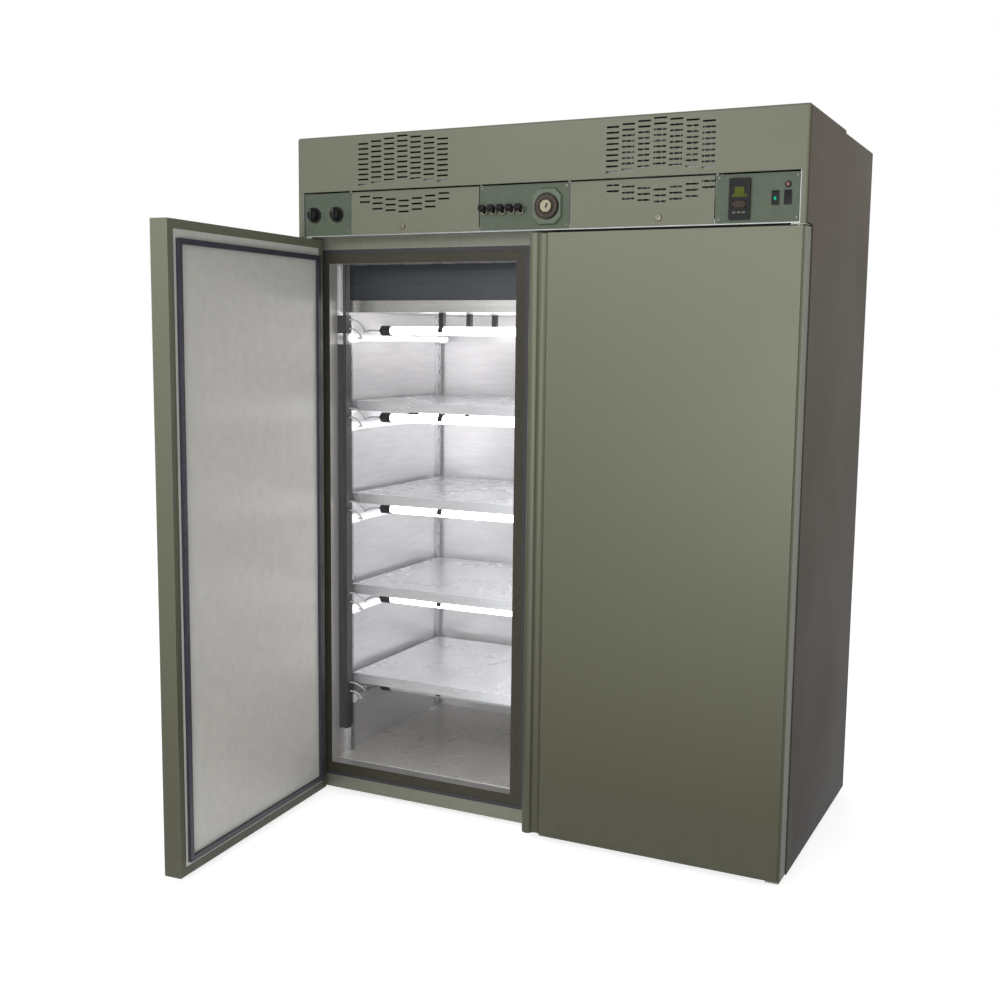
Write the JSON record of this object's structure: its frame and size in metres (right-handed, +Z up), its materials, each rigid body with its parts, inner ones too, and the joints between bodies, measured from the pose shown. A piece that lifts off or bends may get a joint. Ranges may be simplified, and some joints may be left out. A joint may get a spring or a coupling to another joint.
{
  "type": "plant growth chamber",
  "caption": "Floor-standing insulated steel growth cabinet with swinging doors, lit wire-fed shelves, a cooler under the ceiling and a control fascia in its header.",
  "frame": {"origin": "centre of the plinth's flat underside, on the floor", "axes": "+X to the viewer's right along the front, +Y from the door fronts to the back, +Z up"},
  "size_m": [1.5028, 1.5558, 2],
  "materials": {
    "shell_steel": "satin olive-grey stainless",
    "plinth_steel": "satin",
    "bright_liner": "polished stainless",
    "shelf_steel": "bright stainless",
    "frame_steel": "satin",
    "breaker_plastic": "satin",
    "seal_black": "matt",
    "gasket_rubber": "matt",
    "door_liner": "satin",
    "hinge_steel": "satin",
    "standard_steel": "satin",
    "lit_glass": "lit white glass tube",
    "unlit_glass": "unlit white glass tube",
    "holder_black": "satin",
    "duct_plastic": "satin",
    "lead_white": "matt",
    "cooler_steel": "satin",
    "cooler_navy": "satin",
    "coil_metal": "satin",
    "fan_plastic": "satin",
    "plate_steel": "satin",
    "lock_chrome": "polished",
    "control_black": "gloss",
    "timer_plastic": "satin",
    "dial_brown": "satin",
    "display_green": "lit",
    "rocker_green": "lit",
    "service_steel": "satin",
    "compressor_black": "gloss"
  },
  "bodies": {
    "cabinet": {"base_plinth": "plinth_steel", "side_panel_left": "shell_steel", "side_panel_right": "shell_steel", "back_panel": "service_steel", "floor_panel": "service_steel", "ceiling_panel": "service_steel", "chamber_liner": "bright_liner", "front_frame": "frame_steel", "breaker_frames": "breaker_plastic", "seal_strips": "seal_black", "hinge_brackets": "hinge_steel", "shelf_1": "shelf_steel", "shelf_2": "shelf_steel", "shelf_3": "shelf_steel", "shelf_4": "shelf_steel", "shelf_standards": "standard_steel", "lamp_tubes_lit": "lit_glass", "lamp_tubes_unlit": "unlit_glass", "side_lamps": "unlit_glass", "lamp_holders": "holder_black", "cable_duct": "duct_plastic", "lamp_leads": "lead_white", "cooler_frame": "cooler_steel", "cooler_grille": "cooler_navy", "evaporator_coil": "coil_metal", "hood_cover": "shell_steel", "rear_cover": "shell_steel", "fascia_frame": "service_steel", "control_plates": "plate_steel", "control_bezels": "control_black", "timer_case": "timer_plastic", "controller_case": "control_black", "controller_display": "display_green", "compressor": "compressor_black", "condenser": "coil_metal", "ballast_tray": "service_steel", "cable_gland": "holder_black"},
    "door_left": {"door_left_shell": "shell_steel", "door_left_liner": "door_liner", "door_left_gasket": "gasket_rubber"},
    "door_right": {"door_right_shell": "shell_steel", "door_right_liner": "door_liner", "door_right_gasket": "gasket_rubber"},
    "flap_left": {"flap_left": "shell_steel"},
    "flap_right": {"flap_right": "shell_steel"},
    "lock_left": {"lock_left": "lock_chrome"},
    "lock_right": {"lock_right": "lock_chrome"},
    "knob_1": {"knob_1": "control_black"},
    "knob_2": {"knob_2": "control_black"},
    "timer_dial": {"timer_dial": "dial_brown"},
    "controller_key": {"controller_key": "dial_brown"},
    "rocker_1": {"rocker_1": "rocker_green"},
    "rocker_2": {"rocker_2": "control_black"},
    "condenser_fan": {"condenser_fan": "fan_plastic"},
    "evaporator_blower": {"evaporator_blower": "fan_plastic"},
    "toggle_1": {"toggle_1": "control_black"},
    "toggle_2": {"toggle_2": "control_black"},
    "toggle_3": {"toggle_3": "control_black"},
    "toggle_4": {"toggle_4": "control_black"},
    "toggle_5": {"toggle_5": "control_black"}
  },
  "joints": [
    {"name": "door_left_hinge", "type": "hinge", "parent": "cabinet", "child": "door_left", "pos_m": [-0.728, -0.391, 0.02], "axis": [0, 0, 1], "range_deg": [-34, 86]},
    {"name": "door_right_hinge", "type": "hinge", "parent": "cabinet", "child": "door_right", "pos_m": [0.728, -0.391, 0.02], "axis": [0, 0, 1], "range_deg": [0, 120]},
    {"name": "flap_left_hinge", "type": "hinge", "parent": "cabinet", "child": "flap_left", "pos_m": [-0.361, -0.4, 1.834], "axis": [1, 0, 0], "range_deg": [-80, 0]},
    {"name": "flap_right_hinge", "type": "hinge", "parent": "cabinet", "child": "flap_right", "pos_m": [0.316, -0.4, 1.834], "axis": [1, 0, 0], "range_deg": [-80, 0]},
    {"name": "lock_left_turn", "type": "hinge", "parent": "flap_left", "child": "lock_left", "pos_m": [-0.399, -0.407, 1.739], "axis": [0, 1, 0], "range_deg": [0, 90]},
    {"name": "lock_right_turn", "type": "hinge", "parent": "flap_right", "child": "lock_right", "pos_m": [0.365, -0.407, 1.739], "axis": [0, 1, 0], "range_deg": [0, 90]},
    {"name": "knob_1_turn", "type": "hinge", "parent": "cabinet", "child": "knob_1", "pos_m": [-0.696, -0.407, 1.778], "axis": [0, 1, 0], "range_deg": [-150, 150]},
    {"name": "knob_2_turn", "type": "hinge", "parent": "cabinet", "child": "knob_2", "pos_m": [-0.618, -0.407, 1.778], "axis": [0, 1, 0], "range_deg": [-150, 150]},
    {"name": "timer_dial_turn", "type": "hinge", "parent": "cabinet", "child": "timer_dial", "pos_m": [0.053, -0.407, 1.778], "axis": [0, 1, 0], "continuous": true},
    {"name": "controller_key_press", "type": "slide", "parent": "cabinet", "child": "controller_key", "axis": [0, 1, 0], "range_m": [0, 0.0012], "stiffness_N_per_m": 500, "springref_m": -0.001},
    {"name": "rocker_1_tip", "type": "hinge", "parent": "cabinet", "child": "rocker_1", "pos_m": [0.6675, -0.404, 1.778], "axis": [1, 0, 0], "range_deg": [-14, 0]},
    {"name": "rocker_2_tip", "type": "hinge", "parent": "cabinet", "child": "rocker_2", "pos_m": [0.6985, -0.404, 1.778], "axis": [1, 0, 0], "range_deg": [-14, 0]},
    {"name": "condenser_fan_spin", "type": "hinge", "parent": "cabinet", "child": "condenser_fan", "pos_m": [0.367, -0.281, 1.855], "axis": [0, 1, 0], "continuous": true},
    {"name": "evaporator_blower_spin", "type": "hinge", "parent": "cabinet", "child": "evaporator_blower", "pos_m": [0, -0.175, 1.562], "axis": [1, 0, 0], "continuous": true},
    {"name": "toggle_1_throw", "type": "hinge", "parent": "cabinet", "child": "toggle_1", "pos_m": [-0.136, -0.409, 1.77], "axis": [1, 0, 0], "range_deg": [0, 50]},
    {"name": "toggle_2_throw", "type": "hinge", "parent": "cabinet", "child": "toggle_2", "pos_m": [-0.1087, -0.409, 1.77], "axis": [1, 0, 0], "range_deg": [0, 50]},
    {"name": "toggle_3_throw", "type": "hinge", "parent": "cabinet", "child": "toggle_3", "pos_m": [-0.0814, -0.409, 1.77], "axis": [1, 0, 0], "range_deg": [0, 50]},
    {"name": "toggle_4_throw", "type": "hinge", "parent": "cabinet", "child": "toggle_4", "pos_m": [-0.0541, -0.409, 1.77], "axis": [1, 0, 0], "range_deg": [0, 50]},
    {"name": "toggle_5_throw", "type": "hinge", "parent": "cabinet", "child": "toggle_5", "pos_m": [-0.0268, -0.409, 1.77], "axis": [1, 0, 0], "range_deg": [0, 50]}
  ]
}
